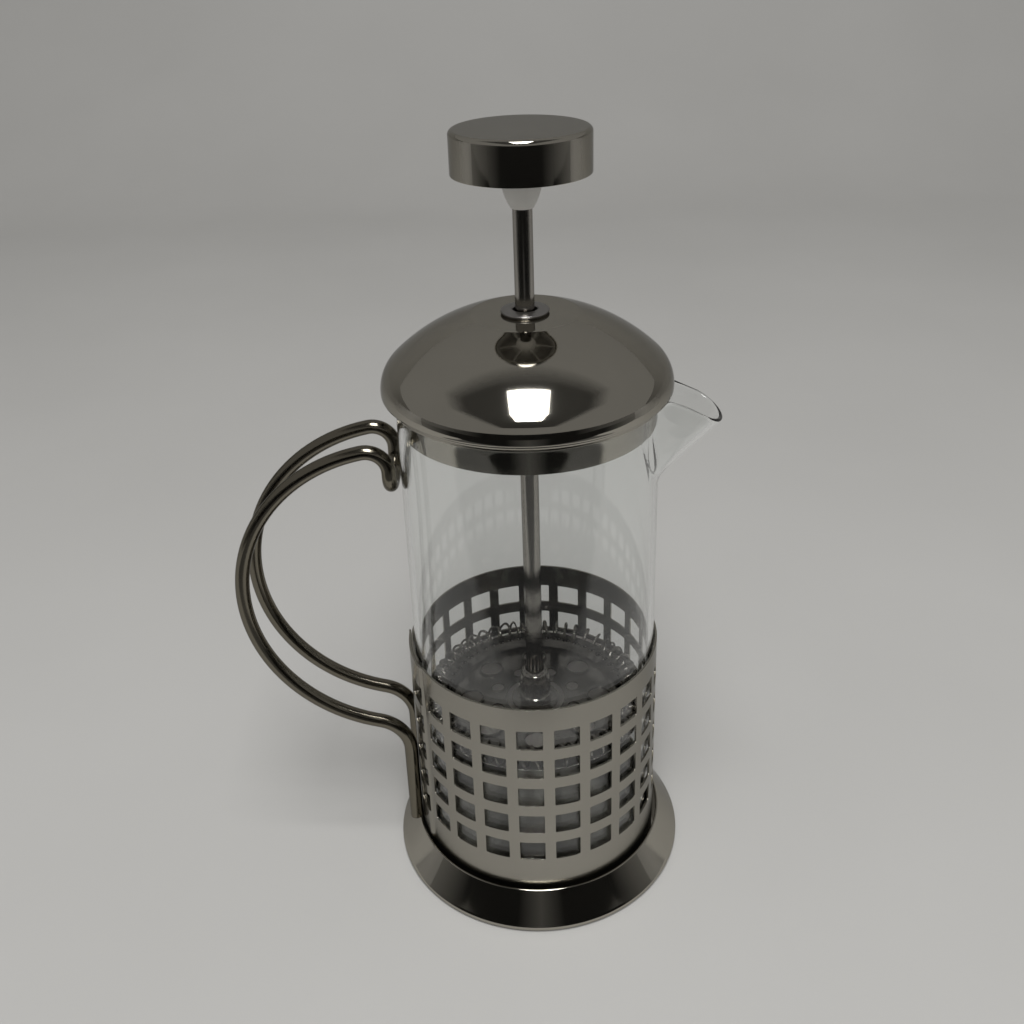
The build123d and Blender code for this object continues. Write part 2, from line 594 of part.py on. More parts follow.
def filter_hub():
    """The grip nut above the filter: collar, groove, fluted grip and a rounded top ring."""
    collar_top = FILTER_SEAT_Z + HUB_COLLAR_HEIGHT
    grip_z = collar_top + HUB_GROOVE_WIDTH
    grip_top = grip_z + HUB_GRIP_HEIGHT
    top = FILTER_SEAT_Z + HUB_HEIGHT
    neck = HUB_RADIUS - HUB_GROOVE_DEPTH
    hub = post(HUB_RADIUS, FILTER_SEAT_Z, collar_top)
    hub += post(neck, collar_top, grip_z)
    grip = post(HUB_RADIUS, grip_z, grip_top)
    flutes = upright_pegs(HUB_FLUTE_RADIUS, HUB_RADIUS, HUB_FLUTES, 0, grip_z, grip_top)
    ring_z = grip_top + HUB_GROOVE_WIDTH
    cap = post(HUB_RING_RADIUS, ring_z, top)
    cap = fillet(cap.edges(), (top - ring_z) / 3)
    hub += (grip - flutes) + post(HUB_RING_RADIUS - HUB_GROOVE_DEPTH, grip_top, ring_z) + cap
    hub -= post(ROD_RADIUS + CONTACT_GAP, ROD_SHOULDER_Z, top)
    return hub - post(SPIGOT_BORE, FILTER_SEAT_Z, ROD_SHOULDER_Z)


def spring_hole_turn():
    """How far round a loop, in degrees, the wire goes from the plate up to the loop's inner side."""
    plate_middle = PLATE_UNDER_Z + PLATE_STEP_RISE + PLATE_SHEET / 2
    return degrees(asin((SPRING_Z - plate_middle) / SPRING_COIL_RADIUS))


def spring_hole_circle():
    """The radius where the inner side of each spring loop passes through the plate's edge."""
    return SPRING_RING_RADIUS - SPRING_COIL_RADIUS * cos(radians(spring_hole_turn()))


def spiral_plate():
    """The upper filter plate: lipped holes, and a raised edge with the spring threaded through it."""
    edge_z = FILTER_SEAT_Z + PLATE_STEP_RISE
    edges = [
        Line((SPIGOT_BORE, FILTER_SEAT_Z), (PLATE_FLAT_RADIUS, FILTER_SEAT_Z)),
        Line((PLATE_FLAT_RADIUS, FILTER_SEAT_Z), (PLATE_STEP_RADIUS, edge_z)),
        Line((PLATE_STEP_RADIUS, edge_z), (PLATE_EDGE_RADIUS, edge_z)),
    ]
    plate = pressed_sheet(edges, PLATE_SHEET, Side.RIGHT)
    lip_radius = PLATE_LARGE_HOLE_RADIUS + PLATE_LIP_WIDTH
    lip_top = FILTER_SEAT_Z + PLATE_LIP_HEIGHT
    plate += upright_pegs(
        lip_radius, PLATE_LARGE_HOLE_CIRCLE, PLATE_LARGE_HOLES, 0, PLATE_UNDER_Z, lip_top
    )
    bottom = PLATE_UNDER_Z - PLATE_SHEET
    top = edge_z + PLATE_SHEET
    spring_hole = SPRING_WIRE / 2 + SPRING_HOLE_CLEARANCE
    large = PLATE_LARGE_HOLES
    half_step = 180 / large
    cuts = upright_pegs(spring_hole, spring_hole_circle(), SPRING_TURNS, 0, bottom, top)
    cuts += upright_pegs(PLATE_LARGE_HOLE_RADIUS, PLATE_LARGE_HOLE_CIRCLE, large, 0, bottom, top)
    cuts += upright_pegs(
        PLATE_SMALL_HOLE_RADIUS, PLATE_SMALL_HOLE_CIRCLE, large, half_step, bottom, top
    )
    for side in (0, 180):
        slot = SlotArc(CenterArc((0, 0), PLATE_SLOT_CIRCLE, side - PLATE_SLOT_TURN / 2, PLATE_SLOT_TURN),
                       PLATE_SLOT_WIDTH)
        cuts.append(Pos(0, 0, bottom) * extrude(slot, top - bottom))
    return plate - cuts


def spring_point(turns):
    """A point on the spring after a number of turns, starting at the inner side of a loop."""
    loop = 2 * pi * turns
    around = 2 * pi * (turns + spring_hole_turn() / 360) / SPRING_TURNS
    reach = SPRING_RING_RADIUS - SPRING_COIL_RADIUS * cos(loop)
    return Vector(reach * cos(around), reach * sin(around), SPRING_Z + SPRING_COIL_RADIUS * sin(loop))


def spring_heading(turns):
    """The direction in which the spring's wire runs there."""
    small = 1e-4
    return (spring_point(turns + small) - spring_point(turns - small)).normalized()


def filter_spring():
    """The coil spring round the plate: one wire, half a turn at a time as a pair of tangent arcs."""
    halves = 2 * SPRING_TURNS - SPRING_HALF_TURNS_LEFT_OUT
    edges = []
    for half in range(halves):
        start, end = spring_point(half / 2), spring_point((half + 1) / 2)
        out, back = spring_heading(half / 2), spring_heading((half + 1) / 2)
        span = end - start
        both = out + back
        spread = 2 * (1 - out.dot(back))
        lean = span.dot(both)
        handle = (sqrt(lean ** 2 + spread * span.dot(span)) - lean) / spread
        join = (start + end + (out - back) * handle) * 0.5
        edges.append(Edge.make_tangent_arc(start, out, join))
        edges.append(Edge.make_tangent_arc(end, back * -1, join))
    path = Wire(edges)
    section = Plane(spring_point(0), z_dir=spring_heading(0)) * Circle(SPRING_WIRE / 2)
    return sweep(section, path=path)


def print_spring_gap():
    """Measure on points how near one loop of the spring comes to the next."""
    steps = 24
    halves = 2 * SPRING_TURNS - SPRING_HALF_TURNS_LEFT_OUT
    points = [tuple(spring_point(step / steps)) for step in range(halves * steps // 2 + 1)]
    nearest = min(
        dist(points[i], points[j])
        for i in range(len(points))
        for j in range(i + steps // 2, min(i + 2 * steps, len(points)))
    )
    ends = dist(points[0], points[-1])
    print("spring: least gap to itself", round(min(nearest, ends) - SPRING_WIRE, 2), "mm")


def mesh_filter():
    """The woven disc under the plate, turned up round the outside of the spring."""
    bottom = PLATE_UNDER_Z
    turn = SPRING_Z - bottom
    centre = (SPRING_RING_RADIUS, SPRING_Z)
    edges = [
        Line((SPIGOT_BORE, bottom), (SPRING_RING_RADIUS, bottom)),
        arc(
            (SPRING_RING_RADIUS, bottom),
            polar(turn, -90 + MESH_TURN_UP / 2, centre),
            polar(turn, -90 + MESH_TURN_UP, centre),
        ),
    ]
    return pressed_sheet(edges, MESH_SHEET, Side.RIGHT)


def cross_plate():
    """The lower plate that carries the mesh, with six large openings and a turned-down rim."""
    top = MESH_UNDER_Z
    edges = [
        Line((SPIGOT_BORE, top), (CROSS_RADIUS, top)),
        Line((CROSS_RADIUS, top), (CROSS_RADIUS, top - CROSS_SHEET - CROSS_RIM_HEIGHT)),
    ]
    plate = pressed_sheet(edges, CROSS_SHEET, Side.RIGHT)
    bottom = top - 2 * CROSS_SHEET
    return plate - upright_pegs(CROSS_HOLE_RADIUS, CROSS_HOLE_CIRCLE, CROSS_HOLES, 0, bottom, top)


def cross_nut():
    """The round nut under the stack."""
    nut = post(CROSS_NUT_RADIUS, NUT_UNDER_Z, CROSS_UNDER_Z)
    nut = chamfer(nut.edges().sort_by(Axis.Z)[0], CROSS_NUT_HEIGHT / 4)
    return nut - post(SPIGOT_BORE, NUT_UNDER_Z, CROSS_UNDER_Z)


PIECES = [
    base_ring, base_pan, frame_band, handle_wire, beaker,
    lid_dome, lid_ring, lid_collar, collar_nut,
    knob_cap, knob_core, knob_nut, plunger_rod,
    filter_hub, spiral_plate, filter_spring, mesh_filter, cross_plate, cross_nut,
]

os.makedirs("parts", exist_ok=True)
for make_piece in PIECES:
    export_step(make_piece(), "parts/" + make_piece.__name__ + ".step")
print_spring_gap()
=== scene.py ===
# %% [markdown]
# # A small plunger coffee press
# The solids of this press come from CAD as one named frame that never moves. Here each
# visible piece is modelled again with smooth surfaces and soft edges, laid exactly on its
# solid, and given a finish made of nodes. All sizes below are in millimetres and are turned
# into Blender's metres by one factor.

# %% Load the frame
import json
from math import acos, atan2, cos, degrees, hypot, pi, radians, sin, sqrt

import bmesh
import bpy
from mathutils import Matrix, Vector


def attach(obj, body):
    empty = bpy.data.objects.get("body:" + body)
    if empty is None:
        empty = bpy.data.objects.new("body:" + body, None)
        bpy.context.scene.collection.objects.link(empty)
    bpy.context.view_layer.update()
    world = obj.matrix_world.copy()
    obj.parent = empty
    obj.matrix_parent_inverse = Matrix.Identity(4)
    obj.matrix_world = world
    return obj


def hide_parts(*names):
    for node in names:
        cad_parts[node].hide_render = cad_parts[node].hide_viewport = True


MM = 0.001
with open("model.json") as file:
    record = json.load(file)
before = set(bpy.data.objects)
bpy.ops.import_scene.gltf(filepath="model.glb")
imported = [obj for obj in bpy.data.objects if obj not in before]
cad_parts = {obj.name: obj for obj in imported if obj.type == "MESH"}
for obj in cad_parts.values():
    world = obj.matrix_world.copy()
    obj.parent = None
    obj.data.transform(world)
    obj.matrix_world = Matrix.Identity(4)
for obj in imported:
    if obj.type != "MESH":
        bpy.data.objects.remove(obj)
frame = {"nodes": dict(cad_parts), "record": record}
scene = bpy.context.scene
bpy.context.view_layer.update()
BODY_OF = {}
for body, nodes in frame["record"]["behaviour"]["bodies"].items():
    for node in nodes:
        BODY_OF[node] = body

# %% [markdown]
# ## The camera
# The photograph looks down at the press from a little above the lid. A camera could be
# aimed with a constraint, but here its three axes are written out from pan, tilt and roll,
# because the roll of a hand-held picture is then a plain number. The lens shift keeps the
# press as high in the picture as it is in the photograph.

# %% Set up the camera
def add_camera():
    pan, tilt, roll = radians(-0.92), radians(25.12), radians(-1.95)
    data = bpy.data.cameras.new("photo_camera")
    data.sensor_width = 36
    data.lens = 38.64
    data.shift_y = -0.09
    camera = bpy.data.objects.new("photo_camera", data)
    forward = Vector((sin(pan) * cos(tilt), cos(pan) * cos(tilt), -sin(tilt)))
    level = Vector((cos(pan), -sin(pan), 0))
    upright = level.cross(forward)
    right = cos(roll) * level + sin(roll) * upright
    up = cos(roll) * upright - sin(roll) * level
    axes = Matrix((right, up, -forward)).transposed().to_4x4()
    camera.matrix_world = Matrix.Translation((0, -0.26674, 0.26747)) @ axes
    scene.collection.objects.link(camera)
    scene.camera = camera
    print("camera: lens", data.lens, "mm, tilt", round(degrees(tilt), 1), "degrees")


add_camera()

# %% [markdown]
# ## Sums with sockets
# A finish needs many small sums, such as a distance from the axis or one minus a mask. Each
# is a Math node, and wiring them by hand hides the thought. This class wraps one socket and
# overloads Python's operators, so a sum is written as a sum and adds its own nodes.

# %% Wrap a socket
class Value:
    """A socket of a finish that can stand in a Python expression."""

    def __init__(self, finish, socket):
        self.finish = finish
        self.socket = socket

    def sum(self, operation, first, second=0.0):
        return self.finish.node("ShaderNodeMath", {"operation": operation}, {0: first, 1: second})

    def __add__(self, other):
        return self.sum("ADD", self, other)

    def __sub__(self, other):
        return self.sum("SUBTRACT", self, other)

    def __rsub__(self, other):
        return self.sum("SUBTRACT", other, self)

    def __mul__(self, other):
        return self.sum("MULTIPLY", self, other)

    def __truediv__(self, other):
        return self.sum("DIVIDE", self, other)

    def __rtruediv__(self, other):
        return self.sum("DIVIDE", other, self)

    def __pow__(self, other):
        return self.sum("POWER", self, other)

    __radd__ = __add__
    __rmul__ = __mul__


# %% Wrap a material
class Finish:
    """A material named for its slot, with one method that adds any node."""

    def __init__(self, slot):
        self.material = bpy.data.materials.new(slot)
        self.material.use_nodes = True
        self.tree = self.material.node_tree
        self.shader = self.tree.nodes["Principled BSDF"]

    def node(self, kind, settings, sockets, output=0):
        made = self.tree.nodes.new(kind)
        for name, value in settings.items():
            if name == "stops":
                for place, (position, colour) in enumerate(value):
                    made.color_ramp.elements[place].position = position
                    made.color_ramp.elements[place].color = (*colour, 1)
            else:
                setattr(made, name, value)
        self.plug(made, sockets)
        return Value(self, made.outputs[output])

    def plug(self, made, sockets):
        for name, value in sockets.items():
            if isinstance(value, Value):
                self.tree.links.new(value.socket, made.inputs[name])
            else:
                made.inputs[name].default_value = value

    def surface(self, **sockets):
        self.plug(self.shader, {name.replace("_", " "): value for name, value in sockets.items()})

    def axes(self):
        """The three Object coordinates, in metres."""
        place = self.node("ShaderNodeTexCoord", {}, {}, "Object")
        made = self.node("ShaderNodeSeparateXYZ", {}, {0: place})
        outputs = made.socket.node.outputs
        return [Value(self, outputs[axis]) for axis in range(3)]

    def vector(self, x, y, z):
        return self.node("ShaderNodeCombineXYZ", {}, {0: x, 1: y, 2: z})

    def noise(self, vector, scale, detail=3.0, roughness=0.5):
        sockets = {"Vector": vector, "Scale": scale, "Detail": detail, "Roughness": roughness}
        return self.node("ShaderNodeTexNoise", {}, sockets)

    def tint(self, mask, dark, light):
        stops = [(0.25, dark), (0.75, light)]
        return self.node("ShaderNodeValToRGB", {"stops": stops}, {0: mask})

    def bump(self, height, depth, strength=1.0):
        sockets = {"Height": height, "Distance": depth * MM, "Strength": strength}
        return self.node("ShaderNodeBump", {}, sockets)


print("shader helpers: Value and Finish")

# %% [markdown]
# ## The steels
# Almost all of the press is stainless steel, in several finishes. All share one recipe:
# a warm grey metal, wiped marks that change the gloss over a centimetre or two, and a fine
# grain that follows how the piece was worked. Polishing on a lathe leaves rings, rolling
# leaves lines along the sheet, and drawing leaves lines along a wire. The grain is a noise
# read through stretched coordinates, so no picture is needed. Steel turns pale where it is
# seen at a slant, and a grey edge tint holds that back.

# %% Make the steel finishes
EDGE_TINT = (0.6, 0.6, 0.6, 1)


def steel(slot, colour, gloss, grain, fineness, depth, wiped=0.10):
    """A stainless steel. gloss is its least roughness, grain the kind of working marks."""
    finish = Finish(slot)
    x, y, z = finish.axes()
    reach = (x * x + y * y) ** 0.5
    around = reach.sum("ARCTAN2", y, x)
    if grain == "rings":
        lines = finish.vector(reach * fineness, around * 0.6, z * fineness)
    elif grain == "rolled":
        lines = finish.vector(around * 1.5, z * fineness, reach * 40)
    else:
        lines = finish.vector(x * fineness, y * fineness, z * 30)
    marks = finish.noise(lines, 1.0, 2.0)
    smears = finish.noise(finish.vector(x, y, z), 55.0, 4.0, 0.6)
    film = finish.noise(finish.vector(x, y, z * 0.5), 19.0, 2.0)
    shade = (smears + film) * 0.5
    dark = [0.86 * part for part in colour]
    finish.surface(
        Base_Color=finish.tint(shade, dark, colour),
        Metallic=1.0,
        Specular_Tint=EDGE_TINT,
        Roughness=gloss + wiped * shade * shade + 0.08 * marks * gloss,
        Normal=finish.bump(marks, depth, 0.5),
    )
    print("finish:", slot, "from roughness", gloss)
    return finish.material


FINISHES = {
    "polished_steel": steel("polished_steel", (0.44, 0.417, 0.365), 0.045, "rings", 2600, 0.0015, 0.07),
    "satin_steel": steel("satin_steel", (0.38, 0.362, 0.318), 0.20, "rolled", 1900, 0.003),
    "wire_steel": steel("wire_steel", (0.20, 0.182, 0.145), 0.12, "drawn", 1500, 0.004),
    "rod_steel": steel("rod_steel", (0.40, 0.38, 0.35), 0.12, "drawn", 2200, 0.004),
    "collar_steel": steel("collar_steel", (0.36, 0.35, 0.34), 0.26, "rings", 1800, 0.006),
    "plate_steel": steel("plate_steel", (0.17, 0.162, 0.15), 0.09, "rings", 1500, 0.003),
    "spring_steel": steel("spring_steel", (0.32, 0.305, 0.28), 0.12, "drawn", 1500, 0.002),
}

# %% [markdown]
# ## Woven wire, glass and plastic
# The filter disc is woven from wire about a third of a millimetre apart. Modelling more than
# twenty thousand crossings would be wasteful, so two crossed waves stand for the wires in
# colour and relief, with painted shade in the dark gaps between the wires. The glass is a
# refracting shader with a faint cast and a few dull smears. The white core of the knob is a
# plain plastic with a fine moulded skin. Its tone is kept greyer than white as painted shade
# under the knob, and more painted shade darkens the pockets beside its boss.

# %% Make the other finishes
WIRE_PITCH = 0.35
BOSS_RADIUS = 5.5
POCKET_SHADE_FADE = 3


def woven_mesh():
    finish = Finish("mesh_steel")
    x, y, z = finish.axes()
    turn = 2 * pi / (WIRE_PITCH * MM)
    warp = x.sum("SINE", x * turn)
    weft = y.sum("SINE", y * turn)
    # Painted shade: the dark stop of this mask fills the gaps between the wires and stands for the shade
    # seen through them.
    cloth = x.sum("MAXIMUM", warp, weft) * 0.5 + 0.5
    smears = finish.noise(finish.vector(x, y, z), 70.0, 3.0)
    finish.surface(
        Base_Color=finish.tint(cloth, (0.06, 0.06, 0.06), (0.44, 0.42, 0.39)),
        Metallic=1.0,
        Roughness=0.24 + 0.2 * smears,
        Normal=finish.bump(cloth, 0.08, 0.8),
    )
    return finish.material


def clear_glass():
    finish = Finish("clear_glass")
    x, y, z = finish.axes()
    smears = finish.noise(finish.vector(x, y, z * 0.4), 60.0, 3.0)
    finish.surface(
        Base_Color=finish.tint(smears, (0.972, 0.984, 0.978), (0.985, 0.992, 0.988)),
        Roughness=0.012 * smears ** 3,
        IOR=1.47,
        Transmission_Weight=1.0,
    )
    return finish.material


def white_plastic():
    finish = Finish("white_plastic")
    x, y, z = finish.axes()
    place = finish.vector(x, y, z)
    skin = finish.noise(place, 1400.0, 2.0)
    clouds = finish.noise(place, 90.0, 3.0)
    # Painted shade: the colour darkens outwards from the boss's edge to stand for the shade in the
    # pockets under the knob. The light stop is also kept greyer than white as painted shade.
    shade_ramp_beside_boss = ((x * x + y * y) ** 0.5 - BOSS_RADIUS * MM) / (POCKET_SHADE_FADE * MM)
    painted_pocket_shade = x.sum("MINIMUM", x.sum("MAXIMUM", shade_ramp_beside_boss, 0.0), 1.0)
    tone_and_pocket_shade = 0.62 + 0.2 * clouds - 0.42 * painted_pocket_shade
    finish.surface(
        Base_Color=finish.tint(tone_and_pocket_shade, (0.26, 0.25, 0.23), (0.58, 0.57, 0.545)),
        Roughness=0.36 + 0.1 * skin,
        Normal=finish.bump(skin, 0.01, 0.4),
    )
    return finish.material


FINISHES["mesh_steel"] = woven_mesh()
FINISHES["clear_glass"] = clear_glass()
FINISHES["white_plastic"] = white_plastic()
print("finishes:", len(FINISHES))

# %% [markdown]
# ## From outline to piece
# Most of the press was spun or pressed round one axis, so its pieces begin as an outline of
# a few points that bmesh spins. A pressed sheet is drawn as its seen side and thickened by
# a Solidify modifier, and a Bevel modifier breaks its cut edges. Both are applied at once,
# so that sharp edges can be marked on the final mesh. Weighted normals then keep a broad
# face from looking puffed up beside its narrow bevel, which polished steel would show.
# Outlines use two kinds of arc: one round a known centre, and one that leaves a point at a
# heading and reaches another.

# %% Draw outlines
def centre_arc(centre, radius, first, last, steps=12):
    """Points on an arc round a centre, between two angles in degrees."""
    angles = [radians(first + (last - first) * step / steps) for step in range(steps + 1)]
    return [(centre[0] + radius * cos(a), centre[1] + radius * sin(a)) for a in angles]


def heading_arc(start, heading, end, steps=16):
    """Points on the arc that leaves start at a heading in degrees and reaches end."""
    across, rise = end[0] - start[0], end[1] - start[1]
    half_turn = atan2(rise, across) - radians(heading)
    radius = hypot(across, rise) / (2 * sin(half_turn))
    points = []
    for step in range(steps + 1):
        swing = half_turn * step / steps
        chord = 2 * radius * sin(swing)
        lean = radians(heading) + swing
        points.append((start[0] + chord * cos(lean), start[1] + chord * sin(lean)))
    return points


TURN_STEPS = 160


def turned(outline, closed=False, steps=TURN_STEPS):
    """Spin an outline of (radius, height) points round the upright axis."""
    bm = bmesh.new()
    verts = [bm.verts.new((radius * MM, 0, height * MM)) for radius, height in outline]
    edges = [bm.edges.new(pair) for pair in zip(verts, verts[1:])]
    if closed:
        edges.append(bm.edges.new((verts[-1], verts[0])))
    bmesh.ops.spin(
        bm, geom=verts + edges, cent=(0, 0, 0), axis=(0, 0, 1),
        angle=2 * pi, steps=steps, use_merge=True,
    )
    close_seams(bm)
    return bm


def close_seams(bm):
    bmesh.ops.remove_doubles(bm, verts=bm.verts, dist=0.001 * MM)
    bmesh.ops.recalc_face_normals(bm, faces=bm.faces)


# %% Finish a piece
def thicken(piece, sheet, side):
    wall = piece.modifiers.new("wall", "SOLIDIFY")
    wall.thickness = sheet * MM
    wall.offset = side
    wall.use_even_offset = True


def soften(piece, width):
    edge = piece.modifiers.new("edge", "BEVEL")
    edge.width = width * MM
    edge.segments = 2
    edge.limit_method = "ANGLE"
    edge.angle_limit = radians(50)


def apply_all(piece):
    bpy.context.view_layer.update()
    graph = bpy.context.evaluated_depsgraph_get()
    solved = piece.evaluated_get(graph)
    piece.data = bpy.data.meshes.new_from_object(
        solved, preserve_all_data_layers=True, depsgraph=graph,
    )
    piece.modifiers.clear()


def shade(piece, crease):
    """Shade smoothly up to a crease, with broad faces staying true beside their soft edges."""
    piece.data.shade_smooth()
    piece.data.set_sharp_from_angle(angle=radians(crease))
    piece.modifiers.new("broad_faces", "WEIGHTED_NORMAL").keep_sharp = True
    apply_all(piece)


def finish_piece(bm, name, node, slot, sheet=0, side=-1, edge=0, crease=40):
    """Make a bmesh the piece that stands for a CAD node and moves with its body."""
    mesh = bpy.data.meshes.new(name)
    bm.to_mesh(mesh)
    bm.free()
    piece = bpy.data.objects.new(name, mesh)
    scene.collection.objects.link(piece)
    if sheet:
        thicken(piece, sheet, side)
    if edge:
        soften(piece, edge)
    apply_all(piece)
    shade(piece, crease)
    piece.data.materials.append(FINISHES[slot])
    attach(piece, BODY_OF[node])
    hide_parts(node)
    low = [round(min(v.co[axis] for v in piece.data.vertices) / MM, 1) for axis in range(3)]
    high = [round(max(v.co[axis] for v in piece.data.vertices) / MM, 1) for axis in range(3)]
    print(name, "from", low, "to", high, "mm,", len(piece.data.polygons), "faces")
    return piece


# %% [markdown]
# ## Foot ring
# The foot is one pressing: an edge rolled under, a barely swelling flare, a rolled crest and
# a narrow groove down to the seat that holds the band. A lathe-like spin of its seen side
# gives the whole ring in one go, and the sheet is thickened inwards.

# %% Spin the foot ring
FOOT_RADIUS = 43.6
FOOT_SHEET = 0.7
FOOT_EDGE = 1.3
EDGE_TURN = 28
HEM_WIDTH = 2.2
GROOVE_RADIUS = 37.1
CREST_RADIUS = 0.4
CREST_TURN = 33
CREST_TOP = 10.2
SEAT_Z = 2.8
SEAT_WIDTH = 7.0


def foot_ring():
    crest = (GROOVE_RADIUS + CREST_RADIUS, CREST_TOP - CREST_RADIUS)
    roll = centre_arc(crest, CREST_RADIUS, CREST_TURN, 180)
    edge = centre_arc((FOOT_RADIUS - FOOT_EDGE, FOOT_EDGE), FOOT_EDGE, -90, EDGE_TURN)
    flare = heading_arc(roll[0], CREST_TURN - 90, edge[-1])
    outline = [(FOOT_RADIUS - HEM_WIDTH, 0)] + edge + flare[-2:0:-1] + roll
    outline += [(GROOVE_RADIUS, SEAT_Z), (GROOVE_RADIUS - SEAT_WIDTH, SEAT_Z)]
    return turned(outline)


finish_piece(foot_ring(), "foot_ring", "base_ring", "polished_steel", sheet=FOOT_SHEET, edge=0.12)

# %% [markdown]
# ## Window band
# The band is a strip of sheet, punched with rows of square windows and rolled into a tube
# whose outer end laps over the inner one. Cutting windows out of a tube with booleans would
# leave ragged shading, so this follows the factory: a flat grid whose lines fall on the
# window edges, corners rounded by a vertex bevel, windows deleted, and the strip rolled.

# %% Lay out the strip
BAND_RADIUS = 36.0
BAND_SHEET = 0.6
BAND_TOP = 74.0
LAP_STEP = 0.7
JOGGLE = (-154.5, -150.5)
STRIP_ENDS = (-182.5, 202.5)
FRONT_COLUMN = -93.1
WINDOWS_AROUND = 22
COLUMNS = [FRONT_COLUMN + 360 / WINDOWS_AROUND * count for count in range(-5, 19)]
HALF_WINDOW = 5.74
TOP_ROW = 63.6
ROW_STEP = 10.0
ROWS = [TOP_ROW - ROW_STEP * count for count in range(5)]
WINDOW_HEIGHT = 6.4


def strip_lines():
    """The angles of the grid's upright lines: window edges, middles, and the joggle's bend."""
    shares = (-1, -0.5, 0, 0.5, 1, 1.42)
    lines = {column + HALF_WINDOW * share for column in COLUMNS for share in shares}
    bend = [JOGGLE[0] + (JOGGLE[1] - JOGGLE[0]) * step / 8 for step in range(9)]
    kept = [line for line in lines if not JOGGLE[0] - 0.3 < line < JOGGLE[1] + 0.3]
    edge = COLUMNS[1] + HALF_WINDOW
    kept += [line for line in bend if abs(line - edge) > 0.2] + [edge]
    inside = [line for line in kept if STRIP_ENDS[0] + 0.3 < line < STRIP_ENDS[1] - 0.3]
    return sorted(inside + list(STRIP_ENDS))


def strip_levels():
    levels = [SEAT_Z, BAND_TOP]
    for row in ROWS:
        levels += [row - WINDOW_HEIGHT / 2, row + WINDOW_HEIGHT / 2]
    return sorted(levels)


print("strip:", len(strip_lines()), "lines by", len(strip_levels()), "levels")

# %% Punch and roll the strip
CORNER_ROUND = 0.35
END_FLARE = 0.25
FLARE_OVER = 2.5


def in_window(angle, height):
    beside = min(abs(angle - column) for column in COLUMNS)
    above = min(abs(height - row) for row in ROWS)
    return beside < HALF_WINDOW - 0.1 and above < WINDOW_HEIGHT / 4


def is_corner(angle, height):
    beside = min(abs(abs(angle - column) - HALF_WINDOW) for column in COLUMNS)
    above = min(abs(abs(height - row) - WINDOW_HEIGHT / 2) for row in ROWS)
    return beside < 0.01 and above < 0.01


def lap_rise(angle):
    """How far the strip stands out at an angle, where its outer end laps over the inner one."""
    share = min(max((JOGGLE[1] - angle) / (JOGGLE[1] - JOGGLE[0]), 0), 1)
    flare = max(STRIP_ENDS[0] + FLARE_OVER - angle, 0) / FLARE_OVER
    return LAP_STEP * share * share * (3 - 2 * share) + END_FLARE * flare * flare


def window_band():
    lines, levels = strip_lines(), strip_levels()
    wide, tall = len(lines), len(levels)
    bm = bmesh.new()
    bmesh.ops.create_grid(bm, x_segments=wide - 1, y_segments=tall - 1, size=1)
    per_degree = radians(1) * BAND_RADIUS
    for number, vert in enumerate(bm.verts):
        vert.co = (lines[number % wide] * per_degree, levels[number // wide], 0)
    corners = [v for v in bm.verts if is_corner(v.co.x / per_degree, v.co.y)]
    bmesh.ops.bevel(
        bm, geom=corners, offset=CORNER_ROUND, affect="VERTICES",
        segments=3, profile=0.5, material=-1,
    )
    middles = [(face, face.calc_center_median()) for face in bm.faces]
    punched = [face for face, middle in middles if in_window(middle.x / per_degree, middle.y)]
    bmesh.ops.delete(bm, geom=punched, context="FACES")
    for vert in bm.verts:
        angle, height = vert.co.x / per_degree, vert.co.y
        reach = (BAND_RADIUS + lap_rise(angle)) * MM
        vert.co = (reach * cos(radians(angle)), reach * sin(radians(angle)), height * MM)
    bmesh.ops.recalc_face_normals(bm, faces=bm.faces)
    return bm


finish_piece(window_band(), "window_band", "frame_band", "satin_steel", sheet=BAND_SHEET, edge=0.10)

# %% [markdown]
# ## Wire handle
# The handle is one bent wire: two strands that stand on the band, sweep out in a wide arc,
# hook back to the glass and join in a small loop. A bevelled curve would do, but spinning a
# ring about each bend's own centre gives true arcs, as a wire bender does. Only the front
# strand and half the loop are made, and a mirror completes the wire.

# %% Bend the handle
WIRE_RADIUS = 2.0
STRAND_Y = -8.0
WELD_GAP = 0.1
LEG_REACH = BAND_RADIUS + LAP_STEP + WELD_GAP + WIRE_RADIUS
LEG_X = -sqrt(LEG_REACH ** 2 - STRAND_Y ** 2)
HOOK_X = -37.4
FOOT_Z = 10.8
GRIP_CENTRE = (-35.7, 92.8)
GRIP_RADIUS = 45.7
LOWER_BEND = 11.0
UPPER_BEND = 6.0
LOOP_BEND = 5.0
LOOP_Z = 126.0


def only(kinds, geometry):
    return [part for part in geometry if isinstance(part, kinds)]


def run_straight(bm, ring, way):
    """Draw a ring of edges out along a straight run, and return the new ring."""
    drawn = bmesh.ops.extrude_edge_only(bm, edges=only(bmesh.types.BMEdge, ring))["geom"]
    bmesh.ops.translate(bm, verts=only(bmesh.types.BMVert, drawn), vec=Vector(way) * MM)
    return only((bmesh.types.BMVert, bmesh.types.BMEdge), drawn)


def run_bend(bm, ring, centre, axis, angle, steps):
    """Turn a ring of edges about a bend's centre, and return the last ring."""
    spun = bmesh.ops.spin(
        bm, geom=ring, cent=Vector(centre) * MM, axis=axis, angle=radians(angle), steps=steps,
    )
    return only((bmesh.types.BMVert, bmesh.types.BMEdge), spun["geom_last"])


